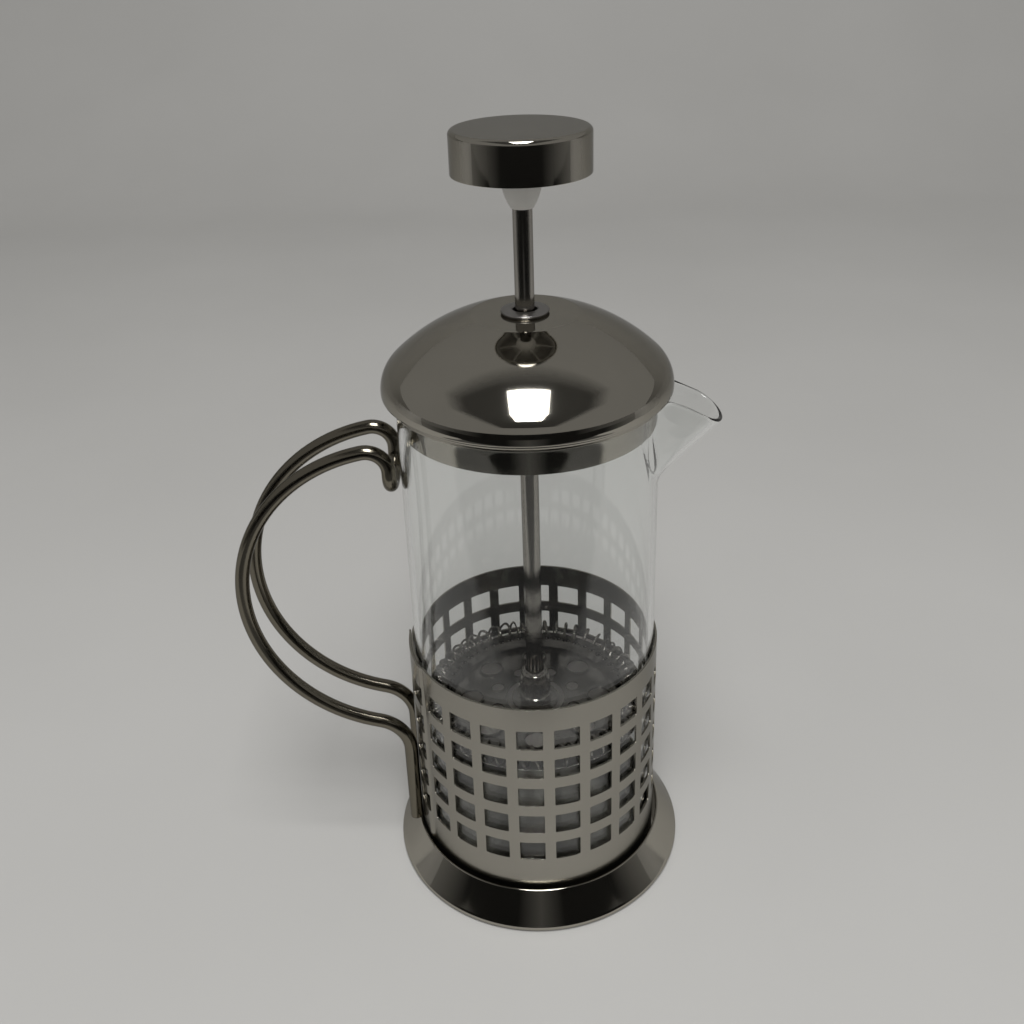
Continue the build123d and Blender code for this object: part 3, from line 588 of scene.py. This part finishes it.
def wire_handle():
    grip_x, grip_z = GRIP_CENTRE
    lower_x = LEG_X - LOWER_BEND
    lower_z = grip_z - sqrt((GRIP_RADIUS + LOWER_BEND) ** 2 - (lower_x - grip_x) ** 2)
    lower_angle = degrees(atan2(lower_z - grip_z, lower_x - grip_x))
    upper_x = HOOK_X - UPPER_BEND
    upper_z = grip_z + sqrt((GRIP_RADIUS - UPPER_BEND) ** 2 - (upper_x - grip_x) ** 2)
    upper_angle = degrees(atan2(upper_z - grip_z, upper_x - grip_x))
    sweep = 360 + lower_angle - upper_angle
    bm = bmesh.new()
    start = Matrix.Translation(Vector((LEG_X, STRAND_Y, FOOT_Z)) * MM)
    bmesh.ops.create_circle(bm, cap_ends=True, segments=20, radius=WIRE_RADIUS * MM, matrix=start)
    cap = bm.faces[:]
    ring = bm.verts[:] + bm.edges[:]
    ring = run_straight(bm, ring, (0, 0, lower_z - FOOT_Z))
    ring = run_bend(bm, ring, (lower_x, STRAND_Y, lower_z), (0, -1, 0), 180 + lower_angle, 14)
    ring = run_bend(bm, ring, (grip_x, STRAND_Y, grip_z), (0, 1, 0), sweep, 56)
    ring = run_bend(bm, ring, (upper_x, STRAND_Y, upper_z), (0, 1, 0), upper_angle, 18)
    loop_y, loop_z = STRAND_Y + LOOP_BEND, LOOP_Z + LOOP_BEND
    ring = run_straight(bm, ring, (0, 0, loop_z - upper_z))
    ring = run_bend(bm, ring, (HOOK_X, loop_y, loop_z), (1, 0, 0), 90, 14)
    run_straight(bm, ring, (0, -loop_y, 0))
    bmesh.ops.bevel(
        bm, geom=cap[0].edges[:], offset=0.5 * MM, affect="EDGES",
        segments=3, profile=0.5, material=-1,
    )
    whole = bm.verts[:] + bm.edges[:] + bm.faces[:]
    bmesh.ops.mirror(bm, geom=whole, axis="Y", merge_dist=0.01 * MM)
    close_seams(bm)
    return bm


finish_piece(wire_handle(), "wire_handle", "handle_wire", "wire_steel")

# %% [markdown]
# ## Glass beaker
# The beaker was drawn from a tube, and its spout was pulled out while the rim was soft. It
# starts as a spun wall with both faces, a rounded rim and rounded corners. Then every point
# above the spout's root is moved: its plan is the circle, two hollow blends and a rounded
# tip, and its height is scaled so that the rim follows the dipping lip.

# %% Measure the spout
GLASS_RADIUS = 35.0
GLASS_WALL = 1.5
GLASS_BOTTOM = 3.6
RIM_Z = 150.7
SPOUT_ROOT_Z = 121.7
SPOUT_REACH = 17.0
TIP_RADIUS = 9.5
BLEND_RADIUS = 14.0
TURN_RADIUS = 9.0
LIP_DIP = 8.0
LIP_START = (GLASS_RADIUS + GLASS_WALL, RIM_Z)
LIP_END = (GLASS_RADIUS + SPOUT_REACH, RIM_Z - LIP_DIP)
LIP = heading_arc(LIP_START, -24, LIP_END, 40)


def spout_reach(height):
    climb = height - SPOUT_ROOT_Z
    slope = SPOUT_REACH / (RIM_Z - SPOUT_ROOT_Z - LIP_DIP - TURN_RADIUS / 2)
    eased = climb ** 2 / (2 * TURN_RADIUS) if climb < TURN_RADIUS else climb - TURN_RADIUS / 2
    return max(slope * eased, 0.02)


def plan_radius(angle, reach, depth):
    """How far from the axis the glass is at an angle, at a depth below its outer face."""
    radius, tip, blend = GLASS_RADIUS - depth, TIP_RADIUS - depth, BLEND_RADIUS + depth
    tip_x = GLASS_RADIUS + reach - TIP_RADIUS
    far, near = radius + blend, tip + blend
    turn = acos((far ** 2 + tip_x ** 2 - near ** 2) / (2 * far * tip_x))
    side = abs(angle)
    if side >= turn:
        return radius
    hollow = (far * cos(turn), far * sin(turn))
    touch_x = tip_x + (hollow[0] - tip_x) * tip / near
    touch_y = hollow[1] * tip / near
    if side <= atan2(touch_y, touch_x):
        along = tip_x * cos(side)
        return along + sqrt(max(along ** 2 - tip_x ** 2 + tip ** 2, 0))
    along = hollow[0] * cos(side) + hollow[1] * sin(side)
    return along - sqrt(max(along ** 2 - far ** 2 + blend ** 2, 0))


def lip_height(x):
    """The height of the rim over a place along the spout."""
    if x <= LIP[0][0]:
        return RIM_Z
    for first, second in zip(LIP, LIP[1:]):
        if x <= second[0]:
            share = (x - first[0]) / (second[0] - first[0])
            return first[1] + share * (second[1] - first[1])
    return LIP[-1][1]


print("spout reaches", round(spout_reach(RIM_Z - LIP_DIP), 1), "mm at its tip")

# %% Spin the glass and pull the spout
CROWDING = 0.88
GLASS_CORNER = 6.0
GLASS_FLOOR = 2.5


def glass_outline():
    corner_x, half = GLASS_RADIUS - GLASS_CORNER, GLASS_WALL / 2
    inside = GLASS_CORNER - GLASS_WALL
    outer = centre_arc((corner_x, GLASS_BOTTOM + GLASS_CORNER), GLASS_CORNER, -90, 0)
    inner = centre_arc((corner_x, GLASS_BOTTOM + GLASS_FLOOR + inside), inside, 0, -90)
    rim = centre_arc((GLASS_RADIUS - half, RIM_Z - half), half, 0, 180, 8)
    spout_levels = [SPOUT_ROOT_Z + step for step in range(1, 28)]
    body_levels = [40.0, 80.0, SPOUT_ROOT_Z]
    up = [(GLASS_RADIUS, level) for level in body_levels + spout_levels]
    down = [(GLASS_RADIUS - GLASS_WALL, level) for _, level in reversed(up)]
    return [(0, GLASS_BOTTOM)] + outer + up + rim + down + inner + [(0, inner[-1][1])]


def pulled(point):
    """Where a point of the spun glass goes when the spout is pulled out, crowding to the tip."""
    radius, height = hypot(point.x, point.y) / MM, point.z / MM
    turn = atan2(point.y, point.x)
    angle = turn - CROWDING * sin(turn)
    share = (height - SPOUT_ROOT_Z) / (RIM_Z - SPOUT_ROOT_Z)
    if share > 0:
        depth = GLASS_RADIUS - radius
        for _ in range(12):
            radius = plan_radius(angle, spout_reach(height), depth)
            top = lip_height(radius * cos(angle))
            height = SPOUT_ROOT_Z + share * (top - SPOUT_ROOT_Z)
    return Vector((radius * cos(angle), radius * sin(angle), height)) * MM


def glass_beaker():
    bm = turned(glass_outline(), steps=220)
    for vert in bm.verts:
        vert.co = pulled(vert.co)
    bmesh.ops.recalc_face_normals(bm, faces=bm.faces)
    return bm


finish_piece(glass_beaker(), "glass_beaker", "beaker", "clear_glass", crease=80)

# %% [markdown]
# ## Lid
# The lid is a spun dome: a low flat round the collar, a wide crown, a tighter shoulder, a
# folded edge and a bead rolled under it. One closed outline holds the outer skin, the bead
# and the inner skin, so the sheet has a real thickness and the fold a real crease. Under it
# a short ring, a sheet bent outwards into a flange, centres the lid in the glass.

# %% Spin the dome and its ring
LID_RADIUS = 38.5
LID_WIDEST_Z = 153.9
LID_SHEET = 0.6
SHOULDER_RADIUS = 8.9
CROWN_RADIUS = 51.66
CROWN_CENTRE_Z = 123.04
CROWN_START = 72.6
FLAT_Z = 172.76
FLAT_RADIUS = 13.7
FLAT_DROP = 0.17
LID_BORE = 4.4
UNDER_Z = 152.8
FOLD_RADIUS = 0.75
BEAD = (36.75, 152.65)
BEAD_RADIUS = 0.95
FLANGE_Z = 151.1
FLANGE_BEND = 0.6
LID_RING_RADIUS = 33.1
LID_RING_SHEET = 0.5
LID_RING_LOW = 143.3


def lid_skin(sunk):
    """One skin of the lid from its bore to its edge, at a depth below the outer face."""
    flat = FLAT_Z - sunk
    shoulder = (LID_RADIUS - SHOULDER_RADIUS, LID_WIDEST_Z)
    join = degrees(atan2(LID_WIDEST_Z - CROWN_CENTRE_Z, shoulder[0]))
    crown = centre_arc((0, CROWN_CENTRE_Z), CROWN_RADIUS - sunk, CROWN_START, join, 30)
    brim = centre_arc(shoulder, SHOULDER_RADIUS - sunk, join, 0, 18)
    tuck = (LID_RADIUS - FOLD_RADIUS, UNDER_Z + FOLD_RADIUS)
    fold = centre_arc(tuck, FOLD_RADIUS - sunk, 0, -90, 6)
    step = heading_arc((FLAT_RADIUS, flat), 0, (FLAT_RADIUS + 1, flat - FLAT_DROP), 6)
    return [(LID_BORE, flat), (9.0, flat)] + step + crown + brim[1:] + fold


def lid_dome():
    roll = centre_arc(BEAD, BEAD_RADIUS, 9, 52 - 360, 36)
    return turned(lid_skin(0) + roll + lid_skin(LID_SHEET)[::-1], closed=True, steps=200)


def lid_ring():
    corner = (LID_RING_RADIUS + FLANGE_BEND, FLANGE_Z - FLANGE_BEND)
    bend = centre_arc(corner, FLANGE_BEND, 180, 90, 6)
    wall = [(LID_RING_RADIUS, LID_RING_LOW), (LID_RING_RADIUS, 147.0)]
    return turned(wall + bend + [(BEAD[0], FLANGE_Z)])


finish_piece(lid_dome(), "lid_dome_skin", "lid_dome", "polished_steel", crease=30)
finish_piece(
    lid_ring(), "lid_inner_ring", "lid_ring", "polished_steel",
    sheet=LID_RING_SHEET, side=1, edge=0.08,
)

# %% [markdown]
# ## Collar, knob and rod
# A small dished collar guides the rod through the lid, and a drawn steel cup covers the
# ribbed plastic core of the knob. These are plain lathe work, so each is one spun outline.
# The core's ribs and pockets are already right in CAD, so a copy of that mesh is merged and
# smoothed instead of being modelled twice.

# %% Spin the collar, the cup and the rod
COLLAR_BORE = 3.2
COLLAR_SHANK = 4.3
COLLAR_FLANGE = 5.9
KNOB_RADIUS = 17.5
KNOB_EDGE = 1.2
KNOB_LOW = 208.7
KNOB_TOP = 219.5
CUP_SHEET = 0.7
ROD_RADIUS = 2.5
ROD_SHOULDERS = (54.0, 209.0)
THREAD_RADIUS = 2.0
THREAD_ENDS = (43.85, 215.5)
THREAD_CHAMFER = 0.4


def collar():
    shank, top = FLAT_Z - 4.6, FLAT_Z + 1.3
    rim = centre_arc((COLLAR_FLANGE, FLAT_Z + 0.6), 0.4, -60, 70, 6)
    outline = [(COLLAR_BORE, shank), (COLLAR_SHANK, shank)]
    outline += [(COLLAR_SHANK, FLAT_Z), (COLLAR_FLANGE, FLAT_Z)] + rim
    outline += [(3.9, top), (3.5, top - 0.08), (COLLAR_BORE, top - 0.4)]
    return turned(outline, closed=True)


def knob_cup():
    top = [(radius, KNOB_TOP) for radius in (0, 8, 14)]
    edge = centre_arc((KNOB_RADIUS - KNOB_EDGE, KNOB_TOP - KNOB_EDGE), KNOB_EDGE, 90, 0, 10)
    return turned(top + edge + [(KNOB_RADIUS, 213.0), (KNOB_RADIUS, KNOB_LOW)])


def plunger_rod():
    lower, upper = THREAD_ENDS
    tip = THREAD_RADIUS - THREAD_CHAMFER
    outline = [(0, lower), (tip, lower), (THREAD_RADIUS, lower + THREAD_CHAMFER)]
    outline += [(THREAD_RADIUS, ROD_SHOULDERS[0]), (ROD_RADIUS, ROD_SHOULDERS[0])]
    outline += [(ROD_RADIUS, ROD_SHOULDERS[1]), (THREAD_RADIUS, ROD_SHOULDERS[1])]
    outline += [(THREAD_RADIUS, upper - THREAD_CHAMFER), (tip, upper), (0, upper)]
    return turned(outline, steps=48)


finish_piece(collar(), "lid_guide_collar", "lid_collar", "collar_steel", crease=30)
finish_piece(knob_cup(), "knob_cup", "knob_cap", "polished_steel", sheet=CUP_SHEET, edge=0.15)
finish_piece(plunger_rod(), "rod", "plunger_rod", "rod_steel")


# %% Smooth the pieces that CAD already shaped
def smooth_copy(node, name, slot, edge=0):
    """A merged, smooth-shaded copy of a CAD node's mesh, standing for that node."""
    bm = bmesh.new()
    bm.from_mesh(frame["nodes"][node].data)
    bmesh.ops.remove_doubles(bm, verts=bm.verts, dist=0.001 * MM)
    return finish_piece(bm, name, node, slot, edge=edge, crease=30)


COPIES = [
    ("base_pan", "foot_pan", "satin_steel"),
    ("collar_nut", "collar_nut_hex", "rod_steel"),
    ("knob_core", "knob_ribbed_core", "white_plastic"),
    ("knob_nut", "knob_nut_hex", "rod_steel"),
    ("spiral_plate", "pierced_plate", "plate_steel", 0.15),
    ("cross_plate", "lower_plate", "plate_steel"),
    ("cross_nut", "lower_nut", "rod_steel"),
]
for copied in COPIES:
    smooth_copy(*copied)

# %% [markdown]
# ## Filter
# On the rod sits a stack: a fluted hub, the pierced plate, a long coil spring threaded
# round the plate's edge, and the woven disc turned up round the spring. The hub is spun and
# its flutes are pressed in by moving points. The spring is wound straight by a spin with a
# step along its axis, then bent into a ring, with its loops leaning unevenly as real ones do.

# %% Spin the hub and the woven disc
HUB_FLUTES = 20
FLUTE_DEPTH = 0.4
GRIP_LEVELS = (53.0, 57.4)
GRIP_INSIDE = 4.2
SPRING_RING = 29.7
SPRING_Z = 52.9
DISC_TURN_UP = 3.5
DISC_BORE = 2.1
DISC_SHEET = 0.25


def filter_hub():
    ring = centre_arc((3.35, 59.45), 0.75, -80, 80, 8)
    outline = [(2.1, 50.0), (4.4, 50.0), (4.6, 50.2), (4.6, 51.9), (4.3, 52.2), (4.0, 52.2)]
    outline += [(4.0, 52.9), (4.3, 52.9), (4.6, 53.3), (4.6, 57.1), (4.3, 57.5), (3.5, 57.5)]
    outline += [(3.5, 58.2)] + ring
    outline += [(3.2, 60.6), (2.9, 60.7), (2.6, 60.4), (2.6, 54.0), (2.1, 54.0)]
    bm = turned(outline, closed=True)
    for vert in bm.verts:
        reach = hypot(vert.co.x, vert.co.y)
        if GRIP_LEVELS[0] * MM < vert.co.z < GRIP_LEVELS[1] * MM and reach > GRIP_INSIDE * MM:
            wave = 0.5 + 0.5 * cos(HUB_FLUTES * atan2(vert.co.y, vert.co.x))
            vert.co.xy *= 1 - FLUTE_DEPTH * MM * wave * wave / reach
    return bm


def woven_disc():
    turn_up = centre_arc((SPRING_RING, SPRING_Z), DISC_TURN_UP, -90, -40, 10)
    flat = [(radius, SPRING_Z - DISC_TURN_UP) for radius in (DISC_BORE, 15.0, 27.0)]
    return turned(flat + turn_up)


finish_piece(filter_hub(), "fluted_hub", "filter_hub", "rod_steel", crease=35)
finish_piece(woven_disc(), "woven_disc", "mesh_filter", "mesh_steel", sheet=DISC_SHEET, side=1)

# %% Wind the spring
SPRING_TURNS = 54
SPRING_COIL = 3.0
SPRING_WIRE = 0.4
LOOP_STEPS = 16
HOLE_TURN = 23.6
LOOPS_MADE = 53.5
LOOP_LEAN = 2.3
LOOP_DROOP = 0.05


def coil_spring():
    bm = bmesh.new()
    start = Matrix.Translation((0, -SPRING_COIL, 0))
    bmesh.ops.create_circle(bm, cap_ends=True, segments=8, radius=SPRING_WIRE, matrix=start)
    pitch = 2 * pi * SPRING_RING / SPRING_TURNS
    bmesh.ops.spin(
        bm, geom=bm.verts[:] + bm.edges[:] + bm.faces[:], cent=(0, 0, 0), axis=(-1, 0, 0),
        dvec=(pitch / LOOP_STEPS, 0, 0), angle=2 * pi * LOOPS_MADE,
        steps=int(LOOPS_MADE * LOOP_STEPS),
    )
    for vert in bm.verts:
        along, out, rise = vert.co
        angle = along / SPRING_RING + radians(HOLE_TURN / SPRING_TURNS)
        lean = 0.5 * sin(5.3 * angle) + 0.5 * sin(11.7 * angle + 1.3)
        above = max(rise + 0.6, 0) / SPRING_COIL
        angle += radians(LOOP_LEAN) * lean * above
        rise *= 1 + LOOP_DROOP * above * (sin(7.1 * angle + 0.4) - 1)
        reach = SPRING_RING + out
        vert.co = Vector((reach * cos(angle), reach * sin(angle), SPRING_Z + rise)) * MM
    close_seams(bm)
    return bm


finish_piece(coil_spring(), "coil_spring", "filter_spring", "spring_steel", crease=60)

# %% [markdown]
# ## Table, backdrop and light
# The press stands on a pale table in front of a grey wall, under one bright panel and soft
# light from all round. A sweep, one sheet that bends from floor to wall, has no hard line
# that would cut through the glass. The panel hangs where its reflection falls on the front
# of the dome, and the world gives the steel something calm to mirror. Polished steel has no
# tone of its own, so, as in a product studio, dark cards stand where only it can see them.

# %% Build the sweep, in metres
FLOOR_FRONT = -8.0
FLOOR_BACK = 0.75
FLOOR_SIDE = 8.0
SWEEP_RADIUS = 0.35
WALL_HEIGHT = 0.5


def sweep():
    bm = bmesh.new()
    ends = [bm.verts.new((side, FLOOR_FRONT, 0)) for side in (-FLOOR_SIDE, FLOOR_SIDE)]
    ring = ends + [bm.edges.new(ends)]
    ring = run_straight(bm, ring, (0, (FLOOR_BACK - FLOOR_FRONT) / MM, 0))
    ring = run_bend(bm, ring, (0, FLOOR_BACK / MM, SWEEP_RADIUS / MM), (1, 0, 0), 90, 24)
    run_straight(bm, ring, (0, 0, WALL_HEIGHT / MM))
    bmesh.ops.recalc_face_normals(bm, faces=bm.faces)
    mesh = bpy.data.meshes.new("sweep")
    bm.to_mesh(mesh)
    bm.free()
    mesh.shade_smooth()
    piece = bpy.data.objects.new("sweep", mesh)
    scene.collection.objects.link(piece)
    return piece


def paint():
    finish = Finish("pale_paint")
    x, y, z = finish.axes()
    clouds = finish.noise(finish.vector(x, y, z), 6.0, 4.0)
    finish.surface(
        Base_Color=finish.tint(clouds, (0.50, 0.495, 0.48), (0.53, 0.525, 0.51)),
        Roughness=0.55 + 0.1 * clouds,
    )
    return finish.material


backdrop = sweep()
backdrop.data.materials.append(paint())
print("sweep:", len(backdrop.data.polygons), "faces")


# %% Hang the lights
def panel(name, place, aim, wide, high, watts):
    data = bpy.data.lights.new(name, "AREA")
    data.shape = "RECTANGLE"
    data.size, data.size_y = wide, high
    data.energy = watts
    lamp = bpy.data.objects.new(name, data)
    lamp.location = place
    lamp.rotation_euler = (Vector(aim) - Vector(place)).to_track_quat("-Z", "Y").to_euler()
    scene.collection.objects.link(lamp)
    print("light:", name, watts, "W")


panel("ceiling_panel", (0.02, -0.8, 1.6), aim=(0.02, -0.8, 0), wide=0.56, high=1.2, watts=26)


# %% Stand up the dark cards
CLOTH_TURN = 2.2


def card_cloth(name, dark_shade, side_shade, dark_at, back, half_width, fade):
    """A dull cloth with a fading edge, darkest at a turn from the front, that only mirrors show."""
    finish = Finish(name)
    x, y, _ = finish.axes()
    aside = x.sum("ARCTAN2", x.sum("ABSOLUTE", x), 0 - y) / CLOTH_TURN - dark_at
    paler = x.sum("ABSOLUTE", aside) * (0.75 / (0.75 - dark_at))
    shades = [(shade, shade, shade) for shade in (dark_shade, side_shade)]
    finish.surface(Base_Color=finish.tint(paler, *shades), Roughness=0.9)
    bounces = finish.node("ShaderNodeLightPath", {}, {}, "Glossy Depth")
    mirrored = bounces.sum("GREATER_THAN", bounces, 0.5)
    cover = x.sum("MINIMUM", (back - y) / fade, (half_width - x.sum("ABSOLUTE", x)) / fade)
    clear = finish.node("ShaderNodeBsdfTransparent", {}, {})
    cloth = Value(finish, finish.shader.outputs[0])
    both = finish.node("ShaderNodeMixShader", {}, {0: mirrored * cover, 1: clear, 2: cloth})
    finish.plug(finish.tree.nodes["Material Output"], {"Surface": both})
    return finish.material


def dark_card(name, foot_line, rise, cloth):
    """A folded card over a line of points, seen by reflections only."""
    bm = bmesh.new()
    verts = [bm.verts.new(point) for point in foot_line]
    fold = verts + [bm.edges.new(pair) for pair in zip(verts, verts[1:])]
    run_straight(bm, fold, Vector(rise) / MM)
    mesh = bpy.data.meshes.new(name)
    bm.to_mesh(mesh)
    bm.free()
    card = bpy.data.objects.new(name, mesh)
    scene.collection.objects.link(card)
    card.data.materials.append(cloth)
    card.visible_camera = False
    card.visible_diffuse = False
    card.visible_shadow = False
    print("card:", name, "of", len(card.data.polygons), "panels")


SCREEN = [(0.60, 0.30), (0.60, -0.08), (0.34, -0.265)]
SCREEN_PLAN = [(-x, y) for x, y in SCREEN] + [(x, y) for x, y in reversed(SCREEN)]
SCREEN_SPLIT = 0.11
low_line = [(x, y, 0) for x, y in SCREEN_PLAN]
high_line = [(x, y, SCREEN_SPLIT) for x, y in SCREEN_PLAN]
floor_line = [(-0.30, -0.122, 0.002), (0.30, -0.122, 0.002)]
ceiling_line = [(-1.3, 0.25, 1.62), (1.3, 0.25, 1.62)]
low_cloth = card_cloth("low_cloth", 0.02, 0.6, dark_at=0.28, back=0.30, half_width=1.0, fade=0.3)
high_cloth = card_cloth("high_cloth", 0.02, 0.6, dark_at=0.0, back=0.30, half_width=1.0, fade=0.3)
floor_cloth = card_cloth("floor_cloth", 0.10, 0.10, dark_at=0.0, back=-0.122, half_width=0.30, fade=0.02)
ceiling_cloth = card_cloth("ceiling_cloth", 0.2, 0.2, dark_at=0.0, back=0.25, half_width=1.3, fade=0.35)
dark_card("low_screen", low_line, (0, 0, SCREEN_SPLIT), low_cloth)
dark_card("high_screen", high_line, (0, 0, 0.07), high_cloth)
dark_card("floor_card", floor_line, (0, -0.143, 0), floor_cloth)
dark_card("ceiling_card", ceiling_line, (0, -3.25, 0), ceiling_cloth)

world = bpy.data.worlds.new("room")
scene.world = world
world.use_nodes = True
world.node_tree.nodes["Background"].inputs["Color"].default_value = (0.27, 0.266, 0.258, 1)
scene.view_settings.view_transform = "Standard"
